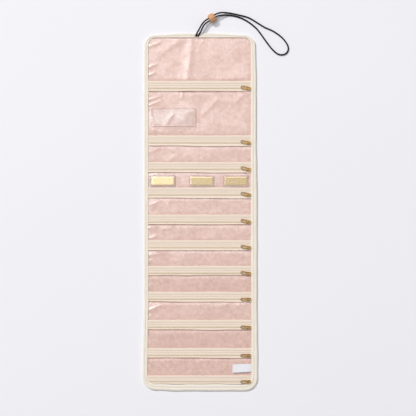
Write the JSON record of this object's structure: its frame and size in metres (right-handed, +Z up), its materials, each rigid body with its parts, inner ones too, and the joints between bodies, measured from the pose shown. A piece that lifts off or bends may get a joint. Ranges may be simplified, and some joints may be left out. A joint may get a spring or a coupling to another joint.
{
  "type": "jewelry roll",
  "caption": "Long fabric jewelry roll lying open: a row of clear zip pockets on a padded, edge-bound strip that rolls up, with a beaded elastic tie cord.",
  "frame": {"origin": "middle of the open roll on the surface it lies on", "axes": "+Z up, +Y along the roll to the edge with the tie cord, +X to the ends where the zip sliders rest"},
  "size_m": [0.2965, 0.7651, 0.0183],
  "materials": {
    "cloth": "padded cloth, cream bound edge and blush lining",
    "clear_vinyl": "clear soft vinyl, glossy",
    "zip_tape": "woven cream tape with a nylon coil",
    "zip_metal": "polished pale gold",
    "gold_plate": "brushed pale gold",
    "elastic_cord": "black braided elastic",
    "bead_wood": "smooth turned wood"
  },
  "bodies": {
    "pocket_01": {"panel_01": "cloth", "window_01": "clear_vinyl", "zip_tape_01": "zip_tape", "tie_cord": "elastic_cord"},
    "pocket_02": {"panel_02": "cloth", "window_02": "clear_vinyl", "zip_tape_02": "zip_tape"},
    "pocket_03": {"panel_03": "cloth", "window_03": "clear_vinyl", "zip_tape_03": "zip_tape"},
    "pocket_04": {"panel_04": "cloth", "window_04": "clear_vinyl", "zip_tape_04": "zip_tape", "gold_plate_left": "gold_plate", "gold_plate_middle": "gold_plate", "gold_plate_right": "gold_plate"},
    "pocket_05": {"panel_05": "cloth", "window_05": "clear_vinyl", "zip_tape_05": "zip_tape"},
    "pocket_06": {"panel_06": "cloth", "window_06": "clear_vinyl", "zip_tape_06": "zip_tape"},
    "pocket_07": {"panel_07": "cloth", "window_07": "clear_vinyl", "zip_tape_07": "zip_tape"},
    "pocket_08": {"panel_08": "cloth", "window_08": "clear_vinyl", "zip_tape_08": "zip_tape"},
    "pocket_09": {"panel_09": "cloth", "window_09": "clear_vinyl", "zip_tape_09": "zip_tape"},
    "pocket_10": {"panel_10": "cloth", "window_10": "clear_vinyl", "zip_tape_10": "zip_tape"},
    "pocket_11": {"panel_11": "cloth", "window_11": "clear_vinyl", "zip_tape_11": "zip_tape"},
    "slider_01": {"slider_01": "zip_metal"},
    "pull_01": {"pull_01": "zip_metal"},
    "slider_02": {"slider_02": "zip_metal"},
    "pull_02": {"pull_02": "zip_metal"},
    "slider_03": {"slider_03": "zip_metal"},
    "pull_03": {"pull_03": "zip_metal"},
    "slider_04": {"slider_04": "zip_metal"},
    "pull_04": {"pull_04": "zip_metal"},
    "slider_05": {"slider_05": "zip_metal"},
    "pull_05": {"pull_05": "zip_metal"},
    "slider_06": {"slider_06": "zip_metal"},
    "pull_06": {"pull_06": "zip_metal"},
    "slider_07": {"slider_07": "zip_metal"},
    "pull_07": {"pull_07": "zip_metal"},
    "slider_08": {"slider_08": "zip_metal"},
    "pull_08": {"pull_08": "zip_metal"},
    "slider_09": {"slider_09": "zip_metal"},
    "pull_09": {"pull_09": "zip_metal"},
    "slider_10": {"slider_10": "zip_metal"},
    "pull_10": {"pull_10": "zip_metal"},
    "slider_11": {"slider_11": "zip_metal"},
    "pull_11": {"pull_11": "zip_metal"},
    "bead": {"cord_bead": "bead_wood"}
  },
  "joints": [
    {"name": "fold_01", "type": "hinge", "parent": "pocket_01", "child": "pocket_02", "pos_m": [0, 0.24225, 0.005], "axis": [-1, 0, 0], "range_deg": [0, 99]},
    {"name": "fold_02", "type": "hinge", "parent": "pocket_02", "child": "pocket_03", "pos_m": [0, 0.13175, 0.005], "axis": [-1, 0, 0], "range_deg": [0, 70]},
    {"name": "fold_03", "type": "hinge", "parent": "pocket_03", "child": "pocket_04", "pos_m": [0, 0.07775, 0.005], "axis": [-1, 0, 0], "range_deg": [0, 50]},
    {"name": "fold_04", "type": "hinge", "parent": "pocket_04", "child": "pocket_05", "pos_m": [0, 0.02625, 0.005], "axis": [-1, 0, 0], "range_deg": [0, 56]},
    {"name": "fold_05", "type": "hinge", "parent": "pocket_05", "child": "pocket_06", "pos_m": [0, -0.02875, 0.005], "axis": [-1, 0, 0], "range_deg": [0, 60]},
    {"name": "fold_06", "type": "hinge", "parent": "pocket_06", "child": "pocket_07", "pos_m": [0, -0.08075, 0.005], "axis": [-1, 0, 0], "range_deg": [0, 62]},
    {"name": "fold_07", "type": "hinge", "parent": "pocket_07", "child": "pocket_08", "pos_m": [0, -0.13275, 0.005], "axis": [-1, 0, 0], "range_deg": [0, 67]},
    {"name": "fold_08", "type": "hinge", "parent": "pocket_08", "child": "pocket_09", "pos_m": [0, -0.18525, 0.005], "axis": [-1, 0, 0], "range_deg": [0, 76]},
    {"name": "fold_09", "type": "hinge", "parent": "pocket_09", "child": "pocket_10", "pos_m": [0, -0.24225, 0.005], "axis": [-1, 0, 0], "range_deg": [0, 87]},
    {"name": "fold_10", "type": "hinge", "parent": "pocket_10", "child": "pocket_11", "pos_m": [0, -0.29925, 0.005], "axis": [-1, 0, 0], "range_deg": [0, 102]},
    {"name": "zip_01_slide", "type": "slide", "parent": "pocket_01", "child": "slider_01", "axis": [1, 0, 0], "range_m": [-0.198, 0]},
    {"name": "pull_01_swing", "type": "hinge", "parent": "slider_01", "child": "pull_01", "pos_m": [0.09955, 0.24805, 0.0074], "axis": [-0.184, -0.9829, 0], "range_deg": [-170, 0]},
    {"name": "zip_02_slide", "type": "slide", "parent": "pocket_02", "child": "slider_02", "axis": [1, 0, 0], "range_m": [-0.198, 0]},
    {"name": "pull_02_swing", "type": "hinge", "parent": "slider_02", "child": "pull_02", "pos_m": [0.09955, 0.13755, 0.0074], "axis": [-0.1908, -0.9816, 0], "range_deg": [-170, 0]},
    {"name": "zip_03_slide", "type": "slide", "parent": "pocket_03", "child": "slider_03", "axis": [1, 0, 0], "range_m": [-0.198, 0]},
    {"name": "pull_03_swing", "type": "hinge", "parent": "slider_03", "child": "pull_03", "pos_m": [0.09955, 0.08355, 0.0074], "axis": [-0.2588, -0.9659, 0], "range_deg": [-170, 0]},
    {"name": "zip_04_slide", "type": "slide", "parent": "pocket_04", "child": "slider_04", "axis": [1, 0, 0], "range_m": [-0.198, 0]},
    {"name": "pull_04_swing", "type": "hinge", "parent": "slider_04", "child": "pull_04", "pos_m": [0.09955, 0.03205, 0.0074], "axis": [-0.2351, -0.972, 0], "range_deg": [-170, 0]},
    {"name": "zip_05_slide", "type": "slide", "parent": "pocket_05", "child": "slider_05", "axis": [1, 0, 0], "range_m": [-0.198, 0]},
    {"name": "pull_05_swing", "type": "hinge", "parent": "slider_05", "child": "pull_05", "pos_m": [0.09955, -0.02295, 0.0074], "axis": [-0.2419, -0.9703, 0], "range_deg": [-170, 0]},
    {"name": "zip_06_slide", "type": "slide", "parent": "pocket_06", "child": "slider_06", "axis": [1, 0, 0], "range_m": [-0.198, 0]},
    {"name": "pull_06_swing", "type": "hinge", "parent": "slider_06", "child": "pull_06", "pos_m": [0.09955, -0.07495, 0.0074], "axis": [-0.1994, -0.9799, 0], "range_deg": [-170, 0]},
    {"name": "zip_07_slide", "type": "slide", "parent": "pocket_07", "child": "slider_07", "axis": [1, 0, 0], "range_m": [-0.198, 0]},
    {"name": "pull_07_swing", "type": "hinge", "parent": "slider_07", "child": "pull_07", "pos_m": [0.09955, -0.12695, 0.0074], "axis": [-0.1219, -0.9925, 0], "range_deg": [-170, 0]},
    {"name": "zip_08_slide", "type": "slide", "parent": "pocket_08", "child": "slider_08", "axis": [1, 0, 0], "range_m": [-0.198, 0]},
    {"name": "pull_08_swing", "type": "hinge", "parent": "slider_08", "child": "pull_08", "pos_m": [0.09955, -0.17945, 0.0074], "axis": [0, -1, 0], "range_deg": [-170, 0]},
    {"name": "zip_09_slide", "type": "slide", "parent": "pocket_09", "child": "slider_09", "axis": [1, 0, 0], "range_m": [-0.198, 0]},
    {"name": "pull_09_swing", "type": "hinge", "parent": "slider_09", "child": "pull_09", "pos_m": [0.09955, -0.23645, 0.0074], "axis": [-0.0523, -0.9986, 0], "range_deg": [-170, 0]},
    {"name": "zip_10_slide", "type": "slide", "parent": "pocket_10", "child": "slider_10", "axis": [1, 0, 0], "range_m": [-0.198, 0]},
    {"name": "pull_10_swing", "type": "hinge", "parent": "slider_10", "child": "pull_10", "pos_m": [0.09955, -0.29345, 0.0074], "axis": [-0.0175, -0.9998, 0], "range_deg": [-170, 0]},
    {"name": "zip_11_slide", "type": "slide", "parent": "pocket_11", "child": "slider_11", "axis": [1, 0, 0], "range_m": [-0.198, 0]},
    {"name": "pull_11_swing", "type": "hinge", "parent": "slider_11", "child": "pull_11", "pos_m": [0.09955, -0.34645, 0.0074], "axis": [0, -1, 0], "range_deg": [-170, 0]},
    {"name": "bead_slide", "type": "slide", "parent": "pocket_01", "child": "bead", "axis": [0.8572, 0.515, 0], "range_m": [-0.002, 0.003]}
  ],
  "couplings": [
    {"joint": "fold_02", "follows": "fold_01", "ratio": 0.70707},
    {"joint": "fold_03", "follows": "fold_01", "ratio": 0.50505},
    {"joint": "fold_04", "follows": "fold_01", "ratio": 0.56565},
    {"joint": "fold_05", "follows": "fold_01", "ratio": 0.60606},
    {"joint": "fold_06", "follows": "fold_01", "ratio": 0.62626},
    {"joint": "fold_07", "follows": "fold_01", "ratio": 0.67676},
    {"joint": "fold_08", "follows": "fold_01", "ratio": 0.76767},
    {"joint": "fold_09", "follows": "fold_01", "ratio": 0.87878},
    {"joint": "fold_10", "follows": "fold_01", "ratio": 1.0303}
  ]
}
